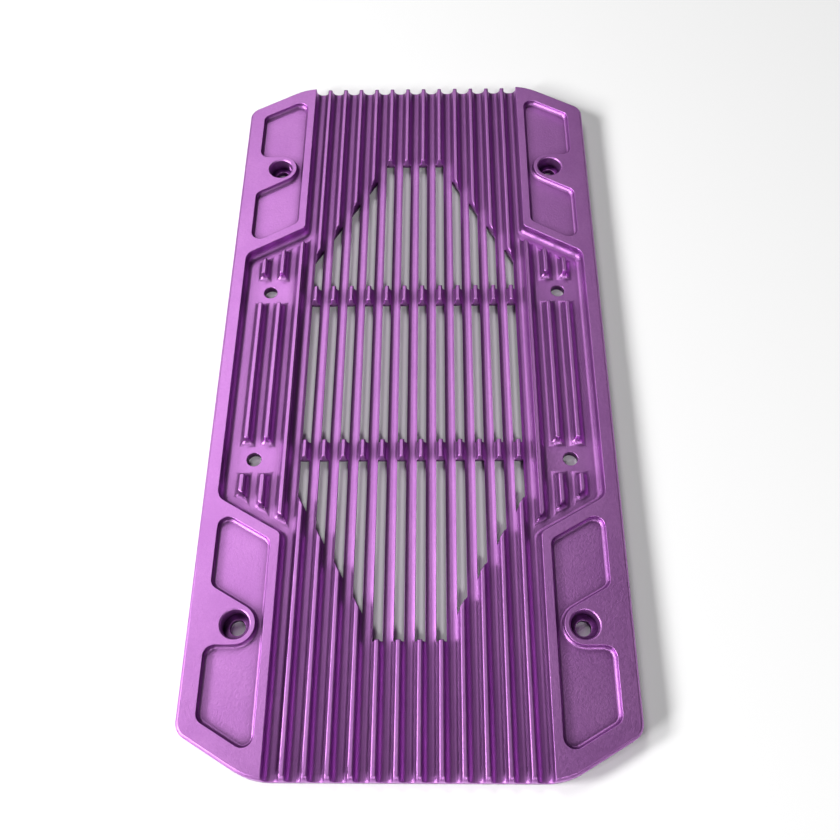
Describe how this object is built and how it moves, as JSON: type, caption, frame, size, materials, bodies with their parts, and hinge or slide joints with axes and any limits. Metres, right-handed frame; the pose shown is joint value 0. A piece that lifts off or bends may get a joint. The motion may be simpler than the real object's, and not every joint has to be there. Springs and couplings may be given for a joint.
{
  "type": "finned cover plate",
  "caption": "Long anodised cover plate with chamfered corners, straight cooling fins from end to end, vent slots, side pockets and counterbored corner holes.",
  "frame": {"origin": "middle of the flat back face", "axes": "+X across the plate, +Y along the fins, +Z out of the finned face"},
  "size_m": [0.125, 0.25, 0.0065],
  "materials": {
    "anodised": "purple anodising over a fine bead-blasted surface"
  },
  "bodies": {
    "root": {"finned_cover": "anodised"}
  },
  "joints": []
}
